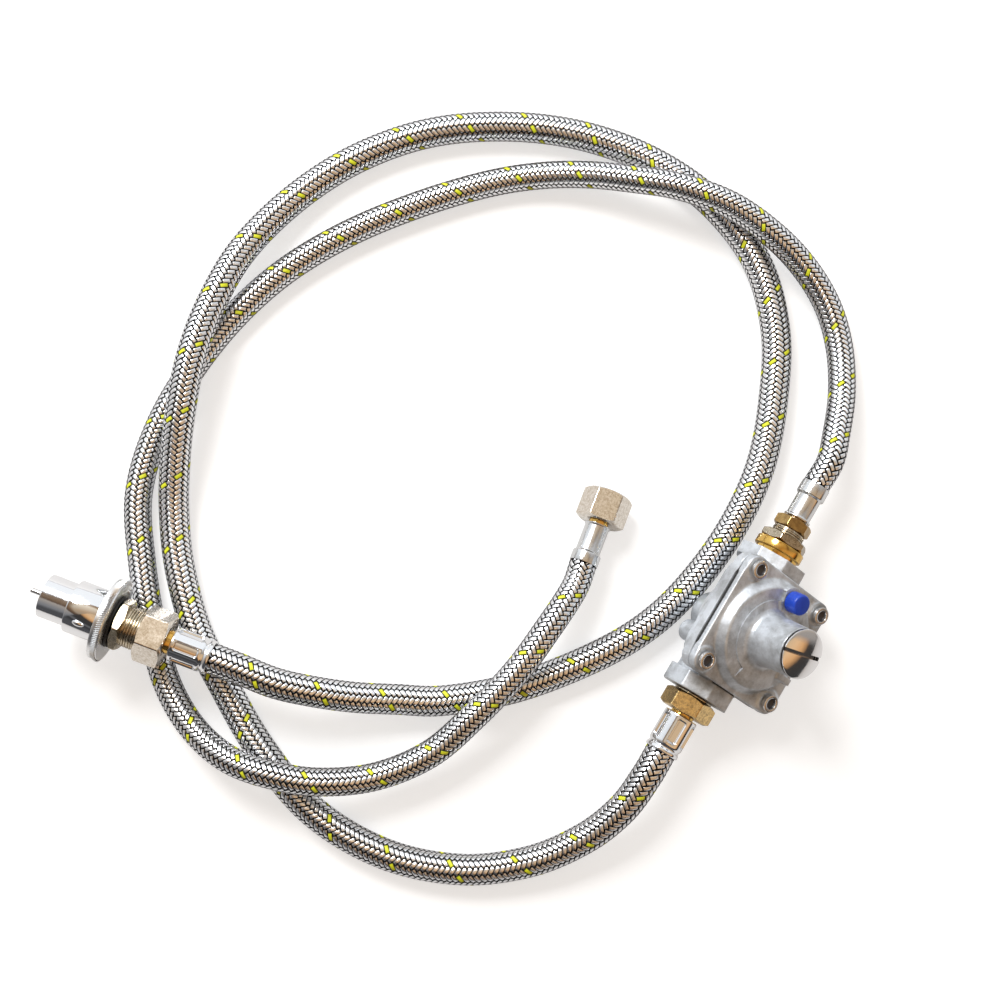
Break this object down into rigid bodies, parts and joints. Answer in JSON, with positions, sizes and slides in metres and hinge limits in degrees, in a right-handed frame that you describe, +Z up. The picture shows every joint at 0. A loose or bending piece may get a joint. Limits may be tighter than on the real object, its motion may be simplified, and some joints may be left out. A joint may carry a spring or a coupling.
{
  "type": "propane regulator hose",
  "caption": "Gas pressure regulator with a wire-braided hose on each port, one ending in a quick-connect plug and the other in a flare nut.",
  "frame": {"origin": "middle of the regulator and its own fittings, on the surface that it lies on", "axes": "+Y along the gas ports from inlet to outlet, +Z up from the surface, +X to the side that the cover leans to"},
  "size_m": [0.3568, 0.3909, 0.0711],
  "materials": {
    "cast_aluminium": "satin",
    "turned_aluminium": "polished",
    "chrome": "polished",
    "nickel": "polished",
    "brass": "polished",
    "steel": "satin",
    "black_rubber": "matte",
    "blue_plastic": "gloss",
    "braided_hose": "satin"
  },
  "bodies": {
    "regulator": {"cover_screw_1": "steel", "cover_screw_2": "steel", "cover_screw_3": "steel", "cover_screw_4": "steel", "diaphragm": "black_rubber", "hose_a": "braided_hose", "hose_a_ferrule_inlet": "chrome", "hose_a_ferrule_plug": "chrome", "hose_a_tail_inlet": "brass", "hose_a_tail_plug": "brass", "hose_b": "braided_hose", "hose_b_ferrule_free": "steel", "hose_b_ferrule_outlet": "steel", "hose_b_tail_free": "brass", "hose_b_tail_outlet": "brass", "inlet_adapter": "nickel", "outlet_bush": "nickel", "outlet_ring": "brass", "plug_adapter": "nickel", "plug_body": "chrome", "plug_flange": "chrome", "plug_washer": "black_rubber", "regulator_body": "cast_aluminium", "regulator_cover": "cast_aluminium"},
    "valve": {"diaphragm_plate": "steel", "valve_stem": "brass", "valve_disc": "black_rubber"},
    "spring": {"main_spring": "steel"},
    "adjuster": {"adjusting_screw": "turned_aluminium"},
    "cap_gasket": {"seal_cap_gasket": "black_rubber"},
    "cap": {"seal_cap": "turned_aluminium"},
    "vent_plug": {"vent_plug": "blue_plastic"},
    "inlet_nut": {"inlet_nut": "nickel"},
    "union_nut": {"union_nut": "nickel"},
    "flare_nut": {"flare_nut": "nickel"},
    "plug_pin": {"plug_pin": "steel"}
  },
  "joints": [
    {"name": "valve_lift", "type": "slide", "parent": "regulator", "child": "valve", "axis": [0.5807, 0, 0.8141], "range_m": [0, 0.002], "deforming": ["diaphragm"]},
    {"name": "spring_travel", "type": "slide", "parent": "regulator", "child": "spring", "axis": [0.5807, 0, 0.8141], "range_m": [-0.003, 0.001], "deforming": ["main_spring"]},
    {"name": "adjuster_turn", "type": "hinge", "parent": "spring", "child": "adjuster", "pos_m": [0.0141, -0.00395, 0.05518], "axis": [0.5807, 0, 0.8141], "range_deg": [-1080, 360]},
    {"name": "cap_lift", "type": "slide", "parent": "regulator", "child": "cap_gasket", "axis": [0.5807, 0, 0.8141], "range_m": [0, 0.006]},
    {"name": "cap_turn", "type": "hinge", "parent": "cap_gasket", "child": "cap", "pos_m": [0.01874, -0.00395, 0.06169], "axis": [0.5807, 0, 0.8141], "range_deg": [0, 2160]},
    {"name": "vent_plug_pull", "type": "slide", "parent": "regulator", "child": "vent_plug", "axis": [0.5807, 0, 0.8141], "range_m": [0, 0.006]},
    {"name": "inlet_nut_turn", "type": "hinge", "parent": "regulator", "child": "inlet_nut", "pos_m": [-0.00797, -0.04995, 0.02424], "axis": [0, -1, 0], "continuous": true},
    {"name": "union_nut_turn", "type": "hinge", "parent": "regulator", "child": "union_nut", "pos_m": [-0.24735, -0.15624, 0.02947], "axis": [0.9823, 0.1824, -0.0436], "continuous": true},
    {"name": "flare_nut_turn", "type": "hinge", "parent": "regulator", "child": "flare_nut", "pos_m": [-0.0923, 0.01341, 0.01218], "axis": [0.1727, -0.9794, 0.1045], "continuous": true},
    {"name": "plug_pin_press", "type": "slide", "parent": "regulator", "child": "plug_pin", "axis": [0.9823, 0.1824, -0.0436], "range_m": [0, 0.003], "stiffness_N_per_m": 200}
  ],
  "couplings": [
    {"joint": "spring_travel", "follows": "adjuster_turn", "m_per_rad": 0.00015915},
    {"joint": "cap_lift", "follows": "cap_turn", "m_per_rad": 0.00015915}
  ]
}
